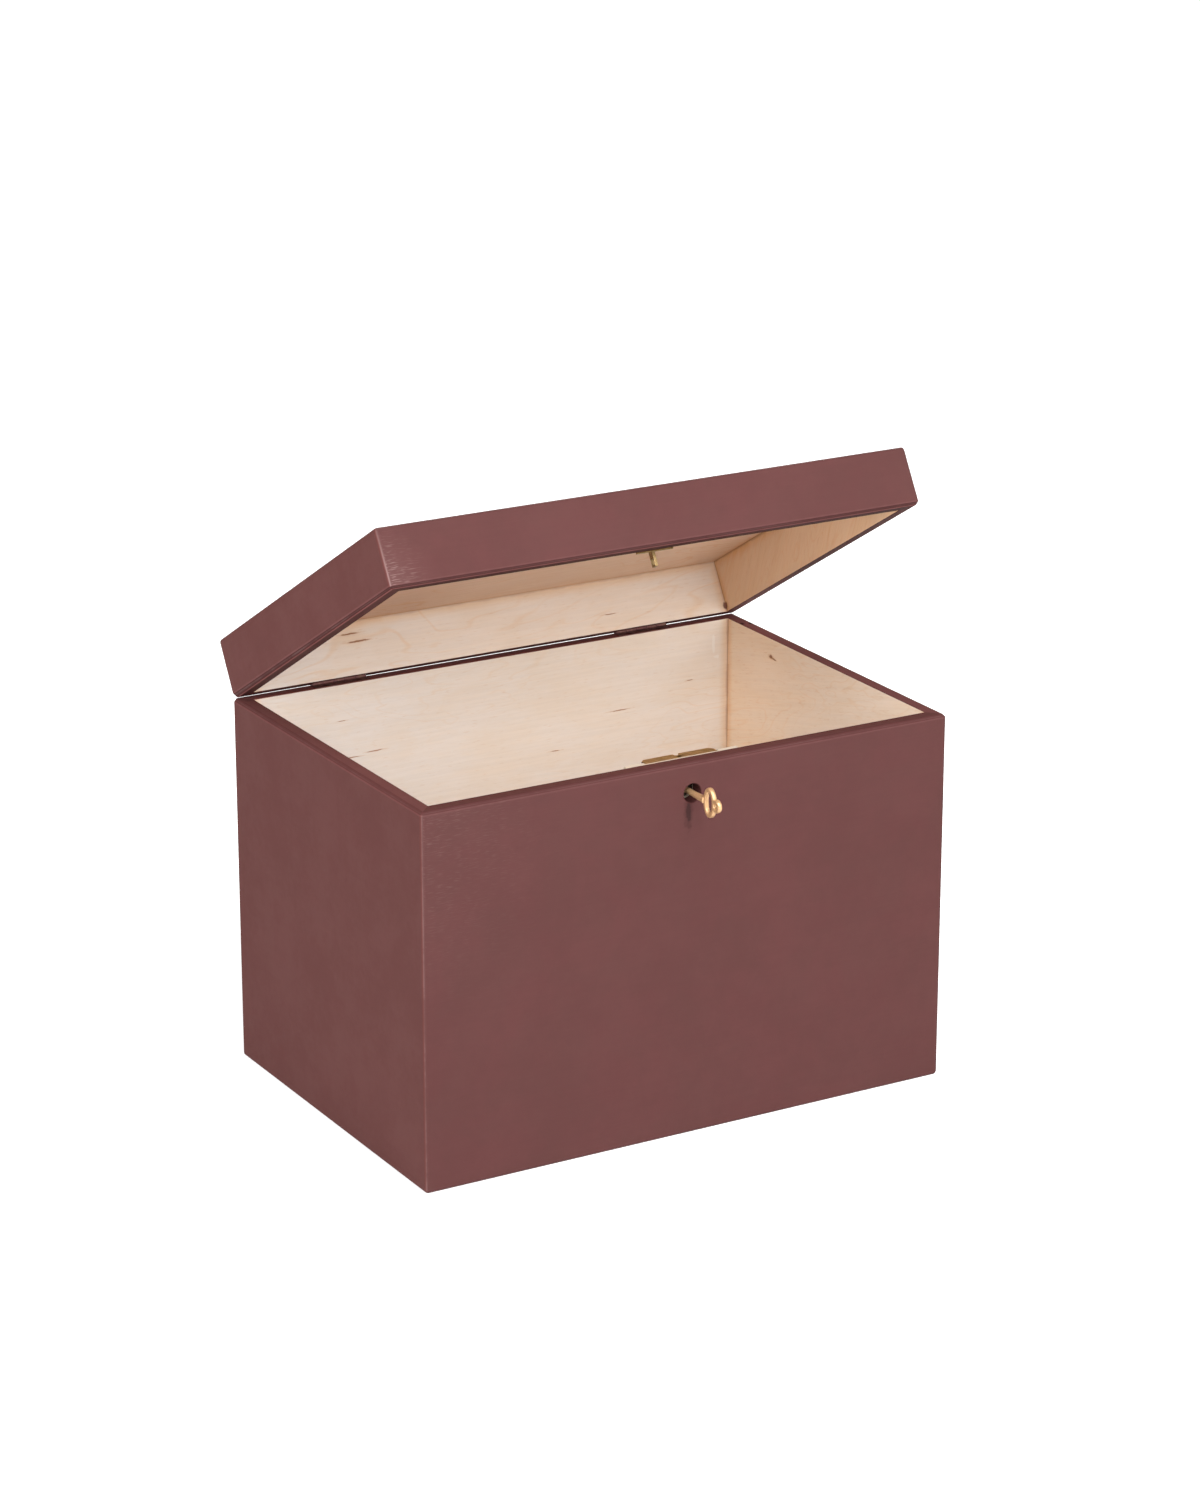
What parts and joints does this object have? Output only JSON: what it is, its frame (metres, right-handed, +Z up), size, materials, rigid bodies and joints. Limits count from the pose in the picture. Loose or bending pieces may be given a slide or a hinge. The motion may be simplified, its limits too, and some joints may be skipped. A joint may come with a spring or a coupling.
{
  "type": "envelope box",
  "caption": "Rectangular wooden storage box for envelopes with a shallow hinged lid, stained outside and raw birch inside, closed by a small box lock with a key.",
  "frame": {"origin": "middle of the flat underside, on the surface the box stands on", "axes": "+Z up, -Y the front with the keyhole, +X to the right seen from the front"},
  "size_m": [0.29, 0.2374, 0.3145],
  "materials": {
    "stained_wood": "matte mauve brown stain",
    "raw_birch": "raw sanded birch",
    "brass": "polished",
    "hinge_metal": "stained over",
    "steel": "satin"
  },
  "bodies": {
    "base": {"back_panel": "stained_wood", "bottom_panel": "raw_birch", "front_panel": "stained_wood", "left_hinge_base_leaf": "hinge_metal", "left_hinge_base_screw_1": "steel", "left_hinge_base_screw_2": "steel", "left_hinge_pin": "steel", "left_panel": "stained_wood", "lock_block": "raw_birch", "lock_case": "brass", "lock_key_pin": "steel", "lock_plate": "brass", "lock_screw_1": "steel", "lock_screw_2": "steel", "lock_screw_3": "steel", "lock_screw_4": "steel", "lock_spring": "steel", "right_hinge_base_leaf": "hinge_metal", "right_hinge_base_screw_1": "steel", "right_hinge_base_screw_2": "steel", "right_hinge_pin": "steel", "right_panel": "stained_wood"},
    "lid": {"left_hinge_lid_leaf": "hinge_metal", "left_hinge_lid_screw_1": "steel", "left_hinge_lid_screw_2": "steel", "lid_back_rail": "stained_wood", "lid_front_rail": "stained_wood", "lid_left_rail": "stained_wood", "lid_right_rail": "stained_wood", "lid_top_panel": "stained_wood", "right_hinge_lid_leaf": "hinge_metal", "right_hinge_lid_screw_1": "steel", "right_hinge_lid_screw_2": "steel", "strike_block": "raw_birch", "strike_plate": "brass", "strike_screw_left": "steel", "strike_screw_right": "steel"},
    "bolt": {"lock_bolt": "brass"},
    "key": {"key": "brass"}
  },
  "joints": [
    {"name": "lid_hinge", "type": "hinge", "parent": "base", "child": "lid", "pos_m": [0, 0.0975, 0.1905], "axis": [-1, 0, 0], "range_deg": [-30.2, 74.8]},
    {"name": "key_turn", "type": "hinge", "parent": "base", "child": "key", "pos_m": [0, -0.099, 0.1745], "axis": [0, 1, 0], "range_deg": [0, 90]},
    {"name": "bolt_slide", "type": "slide", "parent": "base", "child": "bolt", "axis": [-1, 0, 0], "range_m": [0, 0.004]}
  ],
  "couplings": [
    {"joint": "key_turn", "follows": "bolt_slide", "rad_per_m": 392.69}
  ]
}
